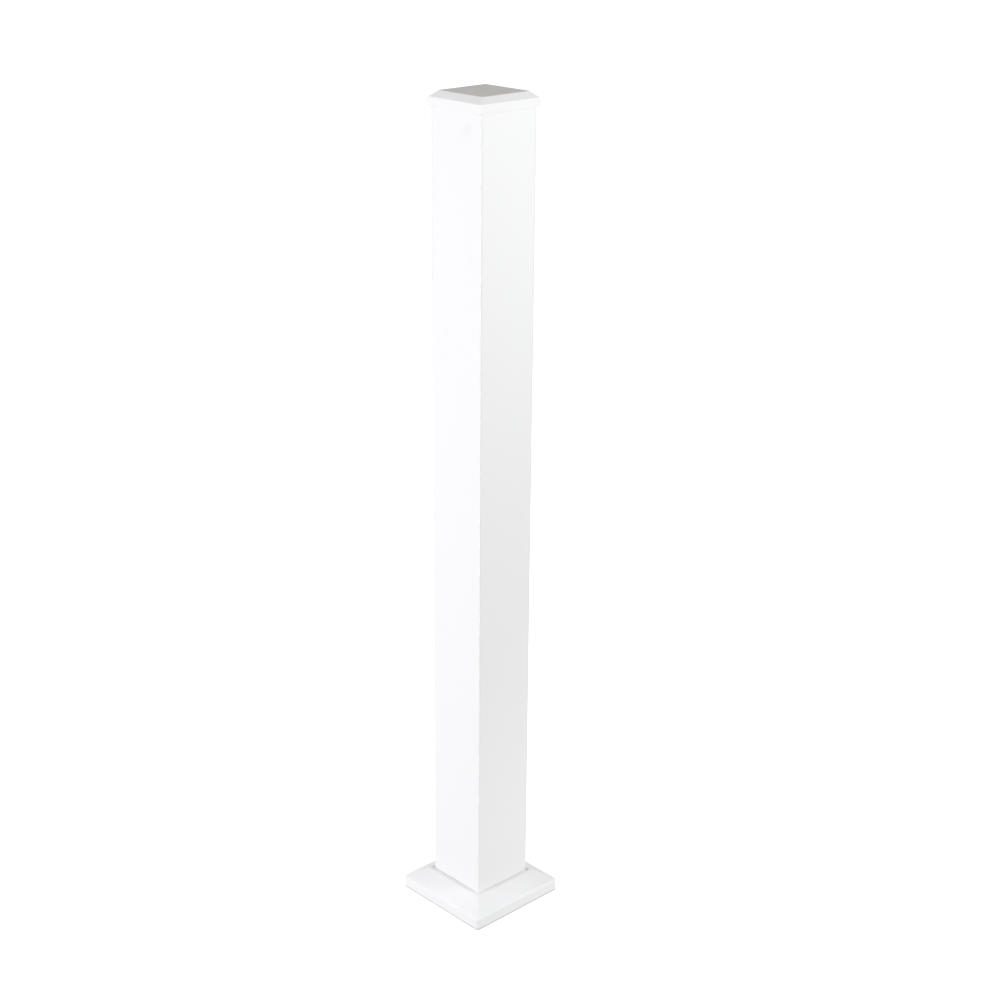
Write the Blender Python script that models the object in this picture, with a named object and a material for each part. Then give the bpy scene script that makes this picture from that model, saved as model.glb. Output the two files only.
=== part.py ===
"""A white railing post: a hollow square sleeve, a bevelled cap and a low sloped skirt round its foot.

Units are metres and +Z is up. The origin is on the floor, at the middle of the foot.
Running this script clears the scene and models the post in the collection named Railing post.
"""
import math

import bmesh
import bpy
from mathutils import Matrix

# The whole post
TOTAL_HEIGHT = 1.2446

# The sleeve
POST_WIDTH = 0.1016
POST_WALL = 0.0034
POST_ARRIS_RADIUS = 0.0019
POST_ROUGHNESS = 0.35

# The cap, which slips over the top of the sleeve and rests on its upper edges
CAP_CLEARANCE = 0.0004
CAP_SEAT_GAP = 0.0003
CAP_WALL = 0.0026
CAP_BAND_HEIGHT = 0.0127
CAP_BEVEL_HEIGHT = 0.0087
CAP_BEVEL_RUN = 0.0108
CAP_CORNER_RADIUS = 0.0008
CAP_ROUGHNESS = 0.30

# The skirt, which lies loose on the floor round the sleeve
SKIRT_CLEARANCE = 0.0009
SKIRT_WALL = 0.0026
SKIRT_LEDGE_WIDTH = 0.0060
SKIRT_SLOPE_RUN = 0.0278
SKIRT_SLOPE_RISE = 0.0164
SKIRT_LIP_HEIGHT = 0.0189
SKIRT_CORNER_RADIUS = 0.0040
SKIRT_EDGE_RADIUS = 0.0012
SKIRT_ROUGHNESS = 0.40

# What follows from them
CAP_BAND_TOP = TOTAL_HEIGHT - CAP_BEVEL_HEIGHT
CAP_BAND_BOTTOM = CAP_BAND_TOP - CAP_BAND_HEIGHT
CAP_HALF = POST_WIDTH / 2 + CAP_CLEARANCE + CAP_WALL

SKIRT_OPENING_HALF = POST_WIDTH / 2 + SKIRT_CLEARANCE
SKIRT_HALF = SKIRT_OPENING_HALF + SKIRT_LEDGE_WIDTH + SKIRT_SLOPE_RUN
SKIRT_HEIGHT = SKIRT_LIP_HEIGHT + SKIRT_SLOPE_RISE

# How the modelling is done
CUTTER_OVERRUN = 0.0100
CORNER_SEGMENTS = 4
EDGE_SEGMENTS = 2
SAME_PLACE = 0.00001
SHARP_ANGLE = math.radians(35)

WHITE_VINYL = (0.90, 0.90, 0.89, 1.0)


def clear_scene():
    for thing in list(bpy.data.objects):
        bpy.data.objects.remove(thing, do_unlink=True)


def new_collection(name):
    collection = bpy.data.collections.new(name)
    bpy.context.scene.collection.children.link(collection)
    return collection


def vinyl(name, roughness):
    material = bpy.data.materials.new(name)
    material.use_nodes = True
    shader = material.node_tree.nodes["Principled BSDF"]
    shader.inputs["Base Color"].default_value = WHITE_VINYL
    shader.inputs["Roughness"].default_value = roughness
    shader.inputs["Metallic"].default_value = 0.0
    return material


def new_object(name, form, collection):
    mesh = bpy.data.meshes.new(name)
    form.to_mesh(mesh)
    form.free()
    thing = bpy.data.objects.new(name, mesh)
    collection.objects.link(thing)
    return thing


def add_piece(name, form, parts, material):
    """Makes a piece from a form, smooth but for its sharp edges."""
    piece = new_object(name, form, parts)
    piece.data.shade_smooth()
    piece.data.set_sharp_from_angle(angle=SHARP_ANGLE)
    piece.data.materials.append(material)
    return piece


def cut_away(piece, name, form, cutters):
    """Takes a form out of a piece with a Boolean, and keeps the form among the cutters."""
    cutter = new_object(name, form, cutters)
    cutter.hide_render = True
    cutter.display_type = "WIRE"
    modifier = piece.modifiers.new(name, "BOOLEAN")
    modifier.operation = "DIFFERENCE"
    modifier.solver = "EXACT"
    modifier.object = cutter


def square_block(half, low, high):
    """A square block centred on the Z axis, from one height to another."""
    form = bmesh.new()
    size = Matrix.Diagonal((2 * half, 2 * half, high - low, 1))
    place = Matrix.Translation((0, 0, (low + high) / 2))
    bmesh.ops.create_cube(form, size=1, matrix=place @ size)
    return form


def raise_slopes(form, run, rise):
    """Draws the top face up and in, so that four mitred slopes climb to a smaller square."""
    top = max(form.faces, key=lambda face: face.calc_center_median().z)
    bmesh.ops.inset_individual(form, faces=[top], thickness=run, depth=rise, use_even_offset=True)


def round_edges(form, edges, radius, segments):
    bmesh.ops.bevel(form, geom=edges, offset=radius, offset_type="OFFSET", segments=segments,
                    profile=0.5, affect="EDGES", clamp_overlap=True, material=-1)


def upright_edges(form):
    def is_upright(edge):
        along = edge.verts[1].co - edge.verts[0].co
        return abs(along.x) + abs(along.y) < SAME_PLACE

    return [edge for edge in form.edges if is_upright(edge)]


def level_edges(form, height):
    return [edge for edge in form.edges
            if all(abs(corner.co.z - height) < SAME_PLACE for corner in edge.verts)]


def drop_below_slope(distance, run, rise):
    """How far straight down a face lies that is parallel to a slope and this distance under it."""
    return distance * math.hypot(run, rise) / run


def shell_form(half, low, lip_top, run, rise):
    """The outside of a cap or skirt: an upright lip with four slopes above it."""
    form = square_block(half, low, lip_top)
    raise_slopes(form, run, rise)
    return form


def hollow_form(half, low, lip_top, run, rise, wall):
    """The inside of such a shell, whose wall is as thick at its lip as at its slopes and its top."""
    slope = rise / run
    shoulder = lip_top + wall * slope - drop_below_slope(wall, run, rise)
    climb = lip_top + rise - wall - shoulder
    return shell_form(half - wall, low - CUTTER_OVERRUN, shoulder, climb / slope, climb)


def make_post(parts, cutters):
    """The sleeve: a square tube whose upper edges stop just under the cap's sloping inner faces."""
    slope = CAP_BEVEL_HEIGHT / CAP_BEVEL_RUN
    cap_outside = CAP_BAND_TOP + (CAP_HALF - POST_WIDTH / 2) * slope
    top = cap_outside - drop_below_slope(CAP_WALL + CAP_SEAT_GAP, CAP_BEVEL_RUN, CAP_BEVEL_HEIGHT)

    form = square_block(POST_WIDTH / 2, 0, top)
    round_edges(form, upright_edges(form), POST_ARRIS_RADIUS, CORNER_SEGMENTS)
    post = add_piece("post", form, parts, vinyl("Sleeve", POST_ROUGHNESS))

    bore = square_block(POST_WIDTH / 2 - POST_WALL, -CUTTER_OVERRUN, top + CUTTER_OVERRUN)
    cut_away(post, "post bore", bore, cutters)


def make_cap(parts, cutters):
    """The cap: a band, four bevels and a flat top, hollow below."""
    form = shell_form(CAP_HALF, CAP_BAND_BOTTOM, CAP_BAND_TOP, CAP_BEVEL_RUN, CAP_BEVEL_HEIGHT)
    round_edges(form, upright_edges(form), CAP_CORNER_RADIUS, EDGE_SEGMENTS)
    cap = add_piece("post_cap", form, parts, vinyl("Cap", CAP_ROUGHNESS))

    hollow = hollow_form(CAP_HALF, CAP_BAND_BOTTOM, CAP_BAND_TOP, CAP_BEVEL_RUN, CAP_BEVEL_HEIGHT, CAP_WALL)
    cut_away(cap, "cap hollow", hollow, cutters)


def make_skirt(parts, cutters):
    """The skirt: a lip, four slopes and a narrow ledge, hollow below, open where the sleeve goes through."""
    form = shell_form(SKIRT_HALF, 0, SKIRT_LIP_HEIGHT, SKIRT_SLOPE_RUN, SKIRT_SLOPE_RISE)
    round_edges(form, upright_edges(form), SKIRT_CORNER_RADIUS, CORNER_SEGMENTS)
    round_edges(form, level_edges(form, SKIRT_LIP_HEIGHT), SKIRT_EDGE_RADIUS, EDGE_SEGMENTS)
    skirt = add_piece("base_skirt", form, parts, vinyl("Skirt", SKIRT_ROUGHNESS))

    hollow = hollow_form(SKIRT_HALF, 0, SKIRT_LIP_HEIGHT, SKIRT_SLOPE_RUN, SKIRT_SLOPE_RISE, SKIRT_WALL)
    cut_away(skirt, "skirt hollow", hollow, cutters)

    below_ledge = SKIRT_HEIGHT - SKIRT_WALL - CUTTER_OVERRUN
    opening = square_block(SKIRT_OPENING_HALF, below_ledge, SKIRT_HEIGHT + CUTTER_OVERRUN)
    cut_away(skirt, "skirt opening", opening, cutters)


def main():
    clear_scene()
    parts = new_collection("Railing post")
    cutters = new_collection("Cutters")
    make_post(parts, cutters)
    make_cap(parts, cutters)
    make_skirt(parts, cutters)


main()
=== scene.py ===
"""The white railing post as it looks: satin vinyl with fine edges, a pale floor and soft light."""

import math

import bmesh
import bpy
from mathutils import Matrix, Vector


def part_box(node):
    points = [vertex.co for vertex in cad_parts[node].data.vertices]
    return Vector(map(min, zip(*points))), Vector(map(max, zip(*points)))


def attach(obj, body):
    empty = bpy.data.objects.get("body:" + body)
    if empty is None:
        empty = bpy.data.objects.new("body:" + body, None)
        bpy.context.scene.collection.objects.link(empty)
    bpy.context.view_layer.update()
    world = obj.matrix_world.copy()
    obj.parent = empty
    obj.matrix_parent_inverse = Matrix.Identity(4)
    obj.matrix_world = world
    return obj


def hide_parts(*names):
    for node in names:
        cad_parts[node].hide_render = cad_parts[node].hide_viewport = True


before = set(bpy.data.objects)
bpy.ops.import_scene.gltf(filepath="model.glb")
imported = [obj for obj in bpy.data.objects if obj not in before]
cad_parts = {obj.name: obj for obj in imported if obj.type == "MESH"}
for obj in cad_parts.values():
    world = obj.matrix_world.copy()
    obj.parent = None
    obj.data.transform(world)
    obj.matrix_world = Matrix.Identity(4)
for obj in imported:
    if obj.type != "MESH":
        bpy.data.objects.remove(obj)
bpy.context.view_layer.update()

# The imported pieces' places, in metres
POST_LOW, POST_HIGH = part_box("post")
CAP_LOW, CAP_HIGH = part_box("post_cap")
SKIRT_LOW, SKIRT_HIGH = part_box("base_skirt")
POST_HALF = POST_HIGH.x
CAP_HALF = CAP_HIGH.x
SKIRT_HALF = SKIRT_HIGH.x

# The sleeve
SLEEVE_WALL = 0.0034
ARRIS_RADIUS = 0.0019
RIM_RADIUS = 0.0004

# The cap
CAP_WALL = 0.0026
CAP_BEVEL_RISE = 0.0087
CAP_BEVEL_RUN = 0.0108
CAP_EDGE_RADIUS = 0.0005

# The skirt
SKIRT_WALL = 0.0026
SKIRT_CLEARANCE = 0.0009
SLOPE_RISE = 0.0164
SLOPE_RUN = 0.0278
LIP_TOP = SKIRT_HIGH.z - SLOPE_RISE
OPENING_HALF = POST_HALF + SKIRT_CLEARANCE
OPENING_CORNER_RADIUS = 0.0026
OPENING_DRIFT = 0.0004
SKIRT_CORNER_RADIUS = 0.0055
SKIRT_EDGE_RADIUS = 0.0012
SKIRT_FOOT_RADIUS = 0.0014
SKIRT_FINE_RADIUS = 0.0005

# How much of the wall at the skirt's foot counts as its outer edge, short of the inner one
OUTER_FOOT_SHARE = 0.9

# How close counts as the same place, how close points are made one, and where a surface creases
SAME_PLACE = 0.00001
DOUBLED = 0.000002
CREASE = math.radians(26)

# How many facets round an edge
SKIRT_CORNER_FACETS = 8
UPRIGHT_FACETS = 6
FINE_FACETS = 4

# How far the large faces hold their shading flat beside the rounded edges, of 100
FLAT_WEIGHT = 100


# Forms

def square_block(half, low, high):
    """A square block round the Z axis, from one height to another."""
    form = bmesh.new()
    size = Matrix.Diagonal((2 * half, 2 * half, high - low, 1))
    place = Matrix.Translation((0, 0, (low + high) / 2))
    bmesh.ops.create_cube(form, size=1, matrix=place @ size)
    return form


def level_face(form, highest):
    """The highest face of a form, or else its lowest."""
    pick = max if highest else min
    return pick(form.faces, key=lambda face: face.calc_center_median().z)


def inset(form, face, run, depth=0.0):
    """Draws a face in by a run and along its normal by a depth, and gives it back."""
    bmesh.ops.inset_individual(form, faces=[face], thickness=run, depth=depth,
                               use_even_offset=True)
    return face


def sink(form, face, distance):
    """Pushes a face straight into the solid, which makes a square pocket, and gives the pocket's floor."""
    inward = -face.normal * distance
    made = bmesh.ops.extrude_discrete_faces(form, faces=[face])
    floor = made["faces"][0]
    bmesh.ops.translate(form, verts=floor.verts[:], vec=inward)
    return floor


def join_through(form, one, other):
    """Opens a way through a solid between two faces."""
    rims = list(one.edges) + list(other.edges)
    bmesh.ops.delete(form, geom=[one, other], context="FACES_ONLY")
    bmesh.ops.bridge_loops(form, edges=rims)


def round_edges(form, edges, radius, facets):
    bmesh.ops.bevel(form, geom=edges, offset=radius, offset_type="OFFSET", segments=facets,
                    profile=0.5, affect="EDGES", clamp_overlap=True, material=-1)


def upright_edges(form, half):
    """The upright edges that stand at a square's four corners."""
    def stands_there(edge):
        a, b = (corner.co for corner in edge.verts)
        at_corner = abs(abs(a.x) - half) < SAME_PLACE and abs(abs(a.y) - half) < SAME_PLACE
        return at_corner and (a.xy - b.xy).length < SAME_PLACE

    return [edge for edge in form.edges if stands_there(edge)]


def level_edges(form, height, outside=0.0):
    """The edges that lie level at a height, on or outside a square of this half width."""
    def lies_there(corner):
        reach = max(abs(corner.co.x), abs(corner.co.y))
        return abs(corner.co.z - height) < SAME_PLACE and reach > outside - SAME_PLACE

    return [edge for edge in form.edges if all(lies_there(corner) for corner in edge.verts)]


def bent(edges):
    """The edges among these where two faces meet at an angle."""
    return [edge for edge in edges if len(edge.link_faces) == 2 and edge.calc_face_angle() > CREASE]


def drop_below_slope(distance, run, rise):
    """How far straight down a face lies that is parallel to a slope and this distance under it."""
    return distance * math.hypot(run, rise) / run


def shell(half, low, lip_top, run, rise, wall):
    """A lip with four slopes above it, hollow from below, with one wall all over.

    The hollow's ceiling comes with it, for a piece that is open there.
    """
    form = square_block(half, low, lip_top)
    inset(form, level_face(form, True), run, rise)

    slope = rise / run
    shoulder = lip_top + wall * slope - drop_below_slope(wall, run, rise)
    climb = lip_top + rise - wall - shoulder
    rim = inset(form, level_face(form, False), wall)
    pocket = sink(form, rim, shoulder - low)
    ceiling = inset(form, pocket, climb / slope, -climb)
    return form, ceiling


def finish_piece(name, form, slot, material, *nodes):
    """Makes the piece, stands it in for its node and lets it ride on the body."""
    bmesh.ops.remove_doubles(form, verts=form.verts[:], dist=DOUBLED)
    bmesh.ops.recalc_face_normals(form, faces=form.faces[:])
    mesh = bpy.data.meshes.new(name)
    form.to_mesh(mesh)
    form.free()
    mesh.shade_smooth()
    mesh.set_sharp_from_angle(angle=CREASE)
    mesh.materials.append(material)
    piece = bpy.data.objects.new(name, mesh)
    bpy.context.scene.collection.objects.link(piece)
    weighted = piece.modifiers.new("flat faces stay flat", "WEIGHTED_NORMAL")
    weighted.weight = FLAT_WEIGHT
    weighted.keep_sharp = True
    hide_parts(*nodes)
    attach(piece, "root")


# Pieces

def make_sleeve(material):
    form = square_block(POST_HALF, POST_LOW.z, POST_HIGH.z)
    upper = inset(form, level_face(form, True), SLEEVE_WALL)
    lower = inset(form, level_face(form, False), SLEEVE_WALL)
    join_through(form, upper, lower)
    round_edges(form, upright_edges(form, POST_HALF), ARRIS_RADIUS, UPRIGHT_FACETS)
    rims = bent(level_edges(form, POST_LOW.z) + level_edges(form, POST_HIGH.z))
    round_edges(form, rims, RIM_RADIUS, FINE_FACETS)
    finish_piece("sleeve", form, "sleeve", material, "post")


def make_cap(material):
    band_top = CAP_HIGH.z - CAP_BEVEL_RISE
    form, _ = shell(CAP_HALF, CAP_LOW.z, band_top, CAP_BEVEL_RUN, CAP_BEVEL_RISE, CAP_WALL)
    top_half = CAP_HALF - CAP_BEVEL_RUN

    def on_outside(corner):
        reach = max(abs(corner.co.x), abs(corner.co.y))
        on_top = corner.co.z > CAP_HIGH.z - SAME_PLACE and reach > top_half - SAME_PLACE
        return on_top or reach > CAP_HALF - SAME_PLACE

    outside = [edge for edge in form.edges if all(on_outside(corner) for corner in edge.verts)]
    round_edges(form, bent(outside), CAP_EDGE_RADIUS, FINE_FACETS)
    finish_piece("cap", form, "cap", material, "post_cap")


def let_opening_drift(form):
    """The loose skirt's play round the sleeve isn't even: it is less at the front corner than behind."""
    rim = OPENING_HALF + SKIRT_FINE_RADIUS + SAME_PLACE
    around = [corner for corner in form.verts if max(abs(corner.co.x), abs(corner.co.y)) < rim]
    bmesh.ops.translate(form, verts=around, vec=(-OPENING_DRIFT, OPENING_DRIFT, 0))


def make_skirt(material):
    form, ceiling = shell(SKIRT_HALF, SKIRT_LOW.z, LIP_TOP, SLOPE_RUN, SLOPE_RISE, SKIRT_WALL)
    ledge_half = SKIRT_HALF - SLOPE_RUN
    ceiling_half = max(corner.co.x for corner in ceiling.verts)
    top = inset(form, level_face(form, True), ledge_half - OPENING_HALF)
    under = inset(form, ceiling, ceiling_half - OPENING_HALF)
    join_through(form, top, under)

    inner_half = SKIRT_HALF - SKIRT_WALL
    inner_radius = SKIRT_CORNER_RADIUS - SKIRT_WALL
    round_edges(form, upright_edges(form, SKIRT_HALF), SKIRT_CORNER_RADIUS, SKIRT_CORNER_FACETS)
    round_edges(form, upright_edges(form, inner_half), inner_radius, UPRIGHT_FACETS)
    round_edges(form, upright_edges(form, OPENING_HALF), OPENING_CORNER_RADIUS, UPRIGHT_FACETS)

    lip_edge = level_edges(form, LIP_TOP, SKIRT_HALF - SKIRT_CORNER_RADIUS)
    round_edges(form, lip_edge, SKIRT_EDGE_RADIUS, FINE_FACETS)
    outer_foot = level_edges(form, SKIRT_LOW.z, SKIRT_HALF - SKIRT_WALL * OUTER_FOOT_SHARE)
    round_edges(form, outer_foot, SKIRT_FOOT_RADIUS, FINE_FACETS)
    round_edges(form, bent(level_edges(form, SKIRT_HIGH.z)), SKIRT_FINE_RADIUS, FINE_FACETS)
    let_opening_drift(form)
    finish_piece("skirt", form, "skirt", material, "base_skirt")


# Materials

# Where a Mix node keeps its factor, its two colours and its mixed colour
MIX_SHARE = 0
MIX_FIRST = 6
MIX_OTHER = 7
MIX_COLOUR = 2


class Wire:
    """A socket in a node tree. An expression on wires adds its Math nodes."""

    def __init__(self, tree, socket):
        self.tree = tree
        self.socket = socket

    def math(self, operation, *others):
        values = {place: other for place, other in enumerate((self, *others))}
        return self.tree.add("ShaderNodeMath", {"operation": operation}, values)

    def __add__(self, other):
        return self.math("ADD", other)

    def __radd__(self, other):
        return self.math("ADD", other)

    def __sub__(self, other):
        return self.math("SUBTRACT", other)

    def __rsub__(self, other):
        return self.tree.add("ShaderNodeMath", {"operation": "SUBTRACT"}, {0: other, 1: self})

    def __mul__(self, other):
        return self.math("MULTIPLY", other)

    def __rmul__(self, other):
        return self.math("MULTIPLY", other)

    def clamped(self):
        return self.tree.add("ShaderNodeClamp", {}, {"Value": self})


class Finish:
    """A material's node tree, and the one way that nodes are added to it."""

    def __init__(self, name):
        self.material = bpy.data.materials.new(name)
        self.material.use_nodes = True
        self.nodes = self.material.node_tree.nodes
        self.links = self.material.node_tree.links
        self.shader = self.nodes["Principled BSDF"]
        self.place = self.add("ShaderNodeTexCoord", {}, {}, "Object")

    def add(self, kind, settings, inputs, output=0):
        node = self.nodes.new(kind)
        for name, value in settings.items():
            setattr(node, name, value)
        self.feed(node, inputs)
        return Wire(self, node.outputs[output])

    def feed(self, node, inputs):
        for name, value in inputs.items():
            if isinstance(value, Wire):
                self.links.new(value.socket, node.inputs[name])
            else:
                node.inputs[name].default_value = value

    def noise(self, scale, detail, stretch=(1, 1, 1)):
        """Noise from 0 to 1 round a half, in blotches about 1/scale metres across."""
        inputs = {0: self.place, 1: stretch}
        place = self.add("ShaderNodeVectorMath", {"operation": "MULTIPLY"}, inputs)
        inputs = {"Vector": place, "Scale": scale, "Detail": detail}
        return self.add("ShaderNodeTexNoise", {}, inputs)

    def part(self, vector, axis):
        return self.add("ShaderNodeSeparateXYZ", {}, {"Vector": vector}, axis)

    def ramp(self, wire, low, high):
        """0 below low, 1 above high, and smooth between."""
        settings = {"interpolation_type": "SMOOTHSTEP"}
        inputs = {"Value": wire, "From Min": low, "From Max": high}
        return self.add("ShaderNodeMapRange", settings, inputs)

    def near(self, wire, edge, band):
        """0 up to a band's first distance inside an edge, and 1 from its second distance on."""
        start, full = band
        return self.ramp(wire, edge - start, edge - full)

    def corner_reach(self):
        """The lesser of a point's two level distances from the middle.

        It is great only near a square's four corners.
        """
        across = self.part(self.place, "X").math("ABSOLUTE")
        along = self.part(self.place, "Y").math("ABSOLUTE")
        return across.math("MINIMUM", along)

    def forward(self):
        """How far a point lies towards the corner between the front and right faces."""
        return self.part(self.place, "X") - self.part(self.place, "Y")

    def rearward(self):
        """0 at the corner between the front and right faces, and 1 at the other three corners."""
        return 1 - self.ramp(self.forward(), *FRONT_CORNER)

    def blob(self, centre, size):
        """1 at a place, fading to 0 at this distance from it."""
        inputs = {0: self.place, 1: centre}
        away = self.add("ShaderNodeVectorMath", {"operation": "DISTANCE"}, inputs, "Value")
        return 1 - self.ramp(away, 0.0, size)

    def marks(self, rows):
        """Blobs added up, each row being a place, a reach and a strength."""
        blobs = [self.blob(centre, reach) * strength for centre, reach, strength in rows]
        return sum(blobs[1:], blobs[0])

    def tint(self, colour, other, share):
        """The first colour, going over to the other as the share goes from 0 to 1."""
        settings = {"data_type": "RGBA", "clamp_factor": True}
        inputs = {MIX_SHARE: share, MIX_FIRST: colour, MIX_OTHER: other}
        return self.add("ShaderNodeMix", settings, inputs, MIX_COLOUR)


WHITE = (0.886, 0.885, 0.893, 1)
WARM_WHITE = (0.876, 0.873, 0.876, 1)
# The dark tone serves both as grime splashed on the sleeve's foot and as painted shade at arrises,
# corners, the skirt's foot and slopes, and its gap
GRIME_AND_SHADE = (0.420, 0.415, 0.400, 1)
SCUFF_MARK = (0.400, 0.420, 0.465, 1)
# A warm grey painted on the cap's flat top as its shade
TOP_SHADE_TONE = (0.600, 0.562, 0.505, 1)

VINYL_IOR = 1.50
SLEEVE_ROUGHNESS = 0.38
CAP_ROUGHNESS = 0.34
SKIRT_ROUGHNESS = 0.42

# The vinyl's patterns, in blotches to the metre
CLOUDS = 14
FLECKS = 420
FINE_GRAIN = 1300
COARSE_GRAIN = 300
DIE_LINES = 260
# The blotches that mottle the painted shade on the cap's top and on the skirt
TOP_SHADE_BLOTCHES = 60
SKIRT_SHADE_BLOTCHES = 90

# Die lines run up the sleeve, so their pattern is drawn out along it
DRAWN_OUT = (1, 1, 0.006)

# How far clouds, flecks and die lines change the tone and the gloss, round the noise's middle
NOISE_MIDDLE = 0.5
CLOUD_SHARE = 0.7
CLOUD_GLOSS = 0.10
FLECK_GLOSS = 0.06
DIE_LINE_GLOSS = 0.08

# How much of the grain is fine, and how much of it and of the die lines the sleeve's skin has
FINE_GRAIN_SHARE = 0.6
SLEEVE_GRAIN = 0.7
SLEEVE_DIE_LINES = 0.5

# How strong the grain is, and how deep on the sleeve and the cap and on the skirt
GRAIN_STRENGTH = 0.35
GRAIN_DEPTH = 0.00012
SKIRT_GRAIN_DEPTH = 0.00014


def white_vinyl(name, roughness):
    """Satin white vinyl: a faint unevenness in tone and gloss, and a skin as fine as a moulding's."""
    finish = Finish(name)
    finish.height = finish.part(finish.place, "Z")
    cloud = finish.noise(CLOUDS, detail=3)
    fleck = finish.noise(FLECKS, detail=2)
    warmth = cloud * CLOUD_SHARE + fleck * (1 - CLOUD_SHARE)
    finish.colour = finish.tint(WHITE, WARM_WHITE, warmth)
    clouded = (cloud - NOISE_MIDDLE) * CLOUD_GLOSS
    flecked = (fleck - NOISE_MIDDLE) * FLECK_GLOSS
    finish.roughness = roughness + clouded + flecked
    fine = finish.noise(FINE_GRAIN, detail=2)
    coarse = finish.noise(COARSE_GRAIN, detail=2)
    finish.grain = fine * FINE_GRAIN_SHARE + coarse * (1 - FINE_GRAIN_SHARE)
    finish.shader.inputs["Metallic"].default_value = 0.0
    finish.shader.inputs["IOR"].default_value = VINYL_IOR
    return finish


def settle(finish, grain_depth):
    """Joins the finish to its shader, with its grain as a bump, and gives the material."""
    inputs = {"Height": finish.grain, "Strength": GRAIN_STRENGTH, "Distance": grain_depth}
    bump = finish.add("ShaderNodeBump", {}, inputs)
    looks = {"Base Color": finish.colour, "Roughness": finish.roughness, "Normal": bump}
    finish.feed(finish.shader, looks)
    return finish.material


# Painted shade starts at the first of these distances inside an edge, and is full at the second
ON_ARRIS = (ARRIS_RADIUS * 1.1, ARRIS_RADIUS * 0.4)
BESIDE_ARRIS = (0.0040, 0.0022)
CAP_CORNER = (0.0024, 0.0010)
CAP_TOP = (0.0009, 0.0001)
SKIRT_CORNER = (SKIRT_CORNER_RADIUS, SKIRT_CORNER_RADIUS * 0.6)

# Between these, going forward, painted shade that the front corner is free of fades out
FRONT_CORNER = (POST_HALF * 0.6, POST_HALF * 1.6)

# Across the front arris, from its left half to its right, painted shade sets in between these
ARRIS_TURN = (ARRIS_RADIUS * -0.6, ARRIS_RADIUS * 0.5)

# How much painted shade there is on and beside the arrises, and how much more of it there is higher up
ARRIS_SHADE = 0.13
BESIDE_ARRIS_SHADE = 0.05
UPPER_ARRIS_SHADE = 0.10
UPPER_SHADE_HEIGHTS = (0.1, 1.2)

# How high above the skirt dirt splashes from the floor, and how strong it is
SPLASH_REACH = 0.10
SPLASH_STRENGTH = 0.06

# Scuffs on the sleeve's front face: place, reach and strength
SLEEVE_SCUFFS = (
    ((0.0226, -POST_HALF, 1.2012), 0.012, 0.090),
    ((0.0150, -POST_HALF, 1.1880), 0.022, 0.022),
    ((0.0330, -POST_HALF, 1.0210), 0.012, 0.030),
    ((-0.0210, -POST_HALF, 0.9126), 0.009, 0.040),
    ((-0.0220, -POST_HALF, 0.8800), 0.016, 0.018),
)


def arris_painted_shade(finish):
    """Painted shade on and beside the arrises, more of it higher up, and less on the front one.

    The front arris has it on its right half alone, and none beside it.
    """
    upper_shade = finish.ramp(finish.height, *UPPER_SHADE_HEIGHTS) * UPPER_ARRIS_SHADE
    corner = finish.corner_reach()
    rearward = finish.rearward()
    turned = finish.part(finish.place, "X") + finish.part(finish.place, "Y")
    leaning = finish.ramp(turned, *ARRIS_TURN) + rearward
    on_arris = finish.near(corner, POST_HALF, ON_ARRIS) * leaning.clamped()
    beside_arris = finish.near(corner, POST_HALF, BESIDE_ARRIS) * rearward
    return on_arris * (ARRIS_SHADE + upper_shade) + beside_arris * (BESIDE_ARRIS_SHADE + upper_shade)


def sleeve_vinyl():
    """Vinyl drawn through a die, with scuffs, splashes at its foot and painted shade at its arrises."""
    finish = white_vinyl("white vinyl, drawn", SLEEVE_ROUGHNESS)
    die_lines = finish.noise(DIE_LINES, detail=3, stretch=DRAWN_OUT)
    finish.grain = finish.grain * SLEEVE_GRAIN + die_lines * SLEEVE_DIE_LINES
    finish.roughness = finish.roughness + (die_lines - NOISE_MIDDLE) * DIE_LINE_GLOSS
    scuffed = finish.marks(SLEEVE_SCUFFS).clamped()
    finish.colour = finish.tint(finish.colour, SCUFF_MARK, scuffed)
    splashed = 1 - finish.ramp(finish.height, SKIRT_HIGH.z, SKIRT_HIGH.z + SPLASH_REACH)
    finish.colour = finish.tint(finish.colour, GRIME_AND_SHADE, splashed * SPLASH_STRENGTH)
    # Painted shade along the arrises, darker near the edges and higher up
    finish.colour = finish.tint(finish.colour, GRIME_AND_SHADE, arris_painted_shade(finish))
    return settle(finish, GRAIN_DEPTH)


# The cap's painted shade at its corners and on its flat top, and how much rougher its flat top is than the
# vinyl
CAP_CORNER_SHADE = 0.20
CAP_TOP_SHADE = 0.55
CAP_TOP_SHADE_MOTTLE = 0.12
TOP_SHADE_MOTTLE_RANGE = (0.3, 0.7)
ROUGHER_TOP = 0.10


def cap_vinyl():
    """Moulded vinyl with mottled painted shade on its flat top and a little painted shade at its corners.
    """
    finish = white_vinyl("white vinyl, cap", CAP_ROUGHNESS)
    on_top = finish.near(finish.height, CAP_HIGH.z, CAP_TOP)
    mottle = finish.ramp(finish.noise(TOP_SHADE_BLOTCHES, detail=4), *TOP_SHADE_MOTTLE_RANGE)
    # Painted shade at the cap's corners, all but the front one
    corner = finish.near(finish.corner_reach(), CAP_HALF, CAP_CORNER) * finish.rearward()
    finish.colour = finish.tint(finish.colour, GRIME_AND_SHADE, corner * CAP_CORNER_SHADE)
    # Painted shade on the cap's flat top, warm grey and mottled
    top_shade = on_top * (CAP_TOP_SHADE + mottle * CAP_TOP_SHADE_MOTTLE)
    finish.colour = finish.tint(finish.colour, TOP_SHADE_TONE, top_shade)
    finish.roughness = finish.roughness + on_top * ROUGHER_TOP
    return settle(finish, GRAIN_DEPTH)


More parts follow.
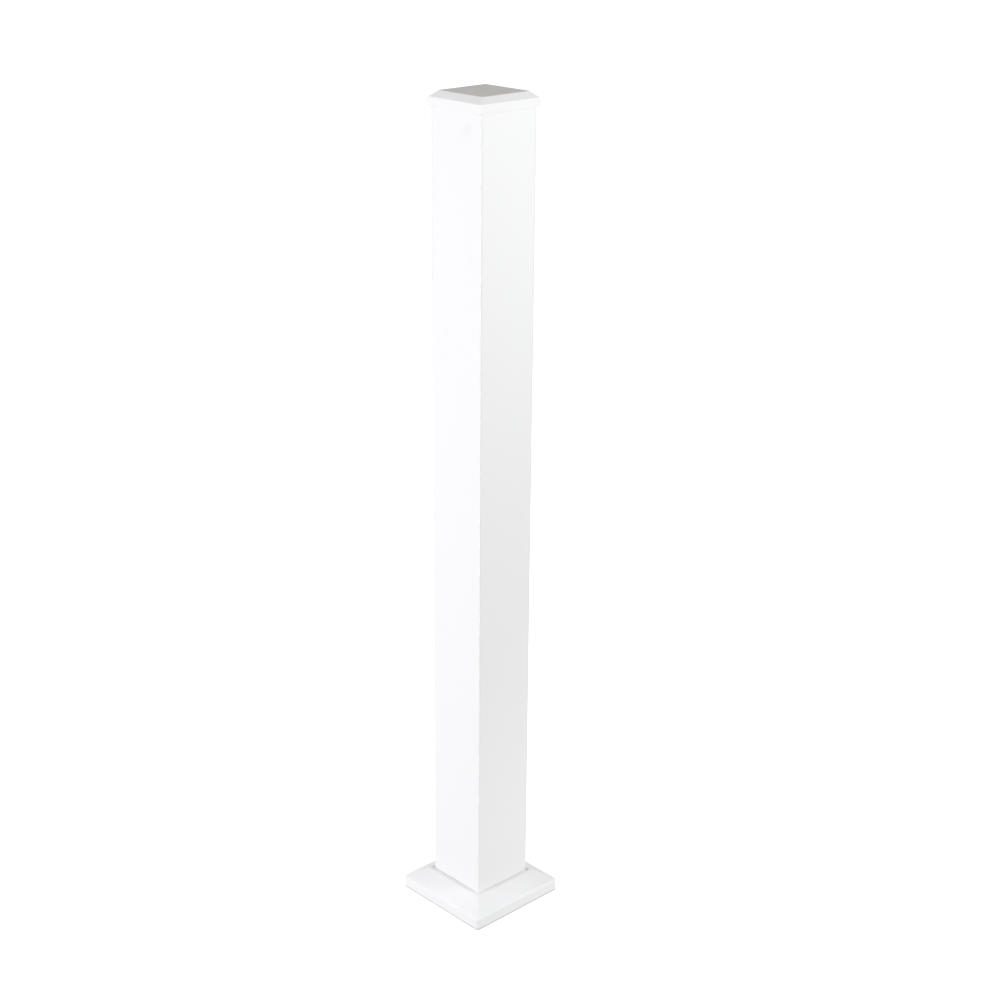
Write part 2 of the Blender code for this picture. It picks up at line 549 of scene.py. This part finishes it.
# The skirt's painted shade: a line at the floor, on the slopes growing to the rear, and at its corners
FOOT_LINE_HEIGHTS = (0.0012, 0.0034)
SLOPE_HEIGHTS = (LIP_TOP - 0.0002, LIP_TOP + 0.0020)
REAR_TO_FRONT = (-0.11, 0.10)
SKIRT_SHADE_MOTTLE_RANGE = (0.25, 0.75)
FOOT_SHADE = 0.92
SLOPE_SHADE = 0.17
SKIRT_CORNER_SHADE = 0.18
MOTTLED_SHARE = 0.1

# Scuffs on the skirt's front slope, and painted shade in the corners of the gap round the sleeve:
# place, reach and strength
SKIRT_SCUFFS_AND_SHADE = (
    ((0.0455, -0.0810, 0.0216), 0.0045, 0.0350),
    ((0.0560, -0.0822, 0.0208), 0.0070, 0.0175),
    ((-OPENING_HALF, -OPENING_HALF, SKIRT_HIGH.z), 0.0045, 0.50),
    ((OPENING_HALF, OPENING_HALF, SKIRT_HIGH.z), 0.0045, 0.72),
    ((-OPENING_HALF, OPENING_HALF, SKIRT_HIGH.z), 0.0045, 0.50),
)


def skirt_vinyl():
    """Moulded vinyl with painted shade at its foot, corners, slopes and the corners of its gap, and scuffs
    on its front slope.
    """
    finish = white_vinyl("white vinyl, skirt", SKIRT_ROUGHNESS)
    # Painted contact shadow along the skirt's foot
    low = 1 - finish.ramp(finish.height, *FOOT_LINE_HEIGHTS)
    slope = finish.ramp(finish.height, *SLOPE_HEIGHTS)
    # Painted shade on the slopes, more of it to the rear
    rear = 1 - finish.ramp(finish.forward(), *REAR_TO_FRONT)
    mottle = finish.ramp(finish.noise(SKIRT_SHADE_BLOTCHES, detail=4), *SKIRT_SHADE_MOTTLE_RANGE)
    # Painted shade at the skirt's corners, all but the front one
    corner = finish.near(finish.corner_reach(), SKIRT_HALF, SKIRT_CORNER) * finish.rearward()
    scuffs_and_shade = low * FOOT_SHADE + slope * rear * SLOPE_SHADE
    scuffs_and_shade = scuffs_and_shade * ((1 - MOTTLED_SHARE) + mottle * MOTTLED_SHARE)
    # Painted shade at the corners and in the gap's corners, and scuffs on the front slope
    scuffs_and_shade = scuffs_and_shade + corner * SKIRT_CORNER_SHADE + finish.marks(SKIRT_SCUFFS_AND_SHADE)
    finish.colour = finish.tint(finish.colour, GRIME_AND_SHADE, scuffs_and_shade.clamped())
    return settle(finish, SKIRT_GRAIN_DEPTH)


# Stage: a pale floor that runs to a pale wall all round

FLOOR_REACH = 24.0
WALL_HEIGHT = 9.0
STAGE_FACETS = 96
FLOOR_WHITE = (0.80, 0.80, 0.80, 1)
DARK = (0, 0, 0, 1)
BRIGHT = (1, 1, 1, 1)
NEAR_GLOW = 0.60
FAR_GLOW = 0.80
NEAR_REACH = 0.25
FAR_REACH = 1.60
WALL_GLOW = 1.00
WORLD_GLOW = 0.535


def floor_finish():
    """A pale floor that glows less round the post, where the lamps light it as well."""
    finish = Finish("pale floor")
    away = finish.add("ShaderNodeVectorMath", {"operation": "LENGTH"}, {0: finish.place}, "Value")
    glow = NEAR_GLOW + finish.ramp(away, NEAR_REACH, FAR_REACH) * (FAR_GLOW - NEAR_GLOW)
    glow = finish.tint(DARK, BRIGHT, glow)
    finish.feed(finish.shader, {"Base Color": FLOOR_WHITE, "Roughness": 1.0, "Specular IOR Level": 0.0,
                                "Emission Color": glow, "Emission Strength": 1.0})
    return finish.material


def wall_finish():
    """A pale wall that glows as bright as the floor looks, so that no line shows between them."""
    finish = Finish("pale wall")
    finish.feed(finish.shader, {"Base Color": FLOOR_WHITE, "Roughness": 1.0, "Specular IOR Level": 0.0,
                                "Emission Color": BRIGHT, "Emission Strength": WALL_GLOW})
    return finish.material


def make_stage():
    """The floor and the wall, which the camera sees but which throw no light on the post."""
    floor = bmesh.new()
    bmesh.ops.create_circle(floor, cap_ends=True, segments=STAGE_FACETS, radius=FLOOR_REACH)
    wall = bmesh.new()
    half_way_up = Matrix.Translation((0, 0, WALL_HEIGHT / 2))
    bmesh.ops.create_cone(wall, cap_ends=False, segments=STAGE_FACETS, radius1=FLOOR_REACH,
                          radius2=FLOOR_REACH, depth=WALL_HEIGHT, matrix=half_way_up)
    bmesh.ops.reverse_faces(wall, faces=wall.faces[:])
    for name, form, material in (("floor", floor, floor_finish()), ("backdrop", wall, wall_finish())):
        mesh = bpy.data.meshes.new(name)
        form.to_mesh(mesh)
        form.free()
        mesh.materials.append(material)
        thing = bpy.data.objects.new(name, mesh)
        bpy.context.scene.collection.objects.link(thing)
        thing.visible_diffuse = False
        thing.visible_glossy = False


LEFT_LIGHT = (0.993, 1.0, 1.016)
RIGHT_LIGHT = (0.988, 1.0, 1.006)

# Lights: name, azimuth, distance, height, the panel's own width and height, the height on the post
# that it points at, watts and colour. The panels show in the vinyl's gloss, and the fills don't.
LIGHTS = (
    ("left panel", -14, 3.0, 1.35, 1.4, 1.7, 0.80, 31.0, LEFT_LIGHT),
    ("low left panel", -14, 2.4, 0.50, 1.4, 0.8, 0.40, 16.4, LEFT_LIGHT),
    ("upper left panel", -20, 1.5, 2.30, 0.6, 0.6, 1.10, 1.4, LEFT_LIGHT),
    ("left foot fill", -12, 0.5, 0.08, 0.3, 0.12, 0.03, 0.075, LEFT_LIGHT),
    ("right panel", 112, 2.8, 1.50, 1.2, 1.2, 0.80, 28.0, RIGHT_LIGHT),
    ("upper right panel", 102, 0.9, 1.28, 0.4, 0.4, 1.10, 1.75, RIGHT_LIGHT),
    ("right foot fill", 102, 0.5, 0.08, 0.3, 0.12, 0.03, 0.35, RIGHT_LIGHT),
    ("back right fill", 204, 2.6, 1.00, 1.2, 1.0, 0.50, 12.0, RIGHT_LIGHT),
    ("back left fill", 248, 2.6, 1.00, 1.2, 1.0, 0.50, 11.0, RIGHT_LIGHT),
)


def place_round(azimuth, distance, height):
    """A point at an azimuth round the post: 0 is in front, towards -Y, and 90 is at +X."""
    turn = math.radians(azimuth)
    return Vector((math.sin(turn) * distance, -math.cos(turn) * distance, height))


def make_lights():
    for name, azimuth, distance, height, wide, tall, aim, watts, colour in LIGHTS:
        light = bpy.data.lights.new(name, "AREA")
        light.shape = "RECTANGLE"
        light.size = wide
        light.size_y = tall
        light.energy = watts
        light.color = colour
        lamp = bpy.data.objects.new(name, light)
        bpy.context.scene.collection.objects.link(lamp)
        lamp.visible_camera = False
        lamp.visible_glossy = not name.endswith("fill")
        lamp.location = place_round(azimuth, distance, height)
        towards = Vector((0, 0, aim)) - lamp.location
        lamp.rotation_euler = towards.to_track_quat("-Z", "Y").to_euler()
    world = bpy.data.worlds.new("studio")
    world.use_nodes = True
    sky = world.node_tree.nodes["Background"]
    sky.inputs["Color"].default_value = BRIGHT
    sky.inputs["Strength"].default_value = WORLD_GLOW
    bpy.context.scene.world = world
    bpy.context.scene.view_settings.view_transform = "Standard"
    bpy.context.scene.view_settings.look = "None"


# Camera: the photograph's view, fitted to the post's edges
CAMERA_AZIMUTH = 46.90
CAMERA_DISTANCE = 2.4923
CAMERA_HEIGHT = 1.5995
CAMERA_TILT = 20.735
CAMERA_ROLL = 0.259
CAMERA_LENS = 65.85
SENSOR_WIDTH = 36.0
SIGHT = 100
PICTURE_WIDTH = 1000
AXIS_COLUMN = 482.07


def make_camera():
    data = bpy.data.cameras.new("camera")
    data.sensor_width = SENSOR_WIDTH
    data.lens = CAMERA_LENS
    data.shift_x = (PICTURE_WIDTH / 2 - AXIS_COLUMN) / PICTURE_WIDTH
    data.clip_end = SIGHT
    camera = bpy.data.objects.new("camera", data)
    bpy.context.scene.collection.objects.link(camera)
    turn = Matrix.Rotation(math.radians(CAMERA_AZIMUTH), 4, "Z")
    tilt = Matrix.Rotation(math.radians(90 - CAMERA_TILT), 4, "X")
    roll = Matrix.Rotation(math.radians(CAMERA_ROLL), 4, "Z")
    place = Matrix.Translation(place_round(CAMERA_AZIMUTH, CAMERA_DISTANCE, CAMERA_HEIGHT))
    camera.matrix_world = place @ turn @ tilt @ roll
    bpy.context.scene.camera = camera


make_camera()
make_sleeve(sleeve_vinyl())
make_cap(cap_vinyl())
make_skirt(skirt_vinyl())
make_stage()
make_lights()
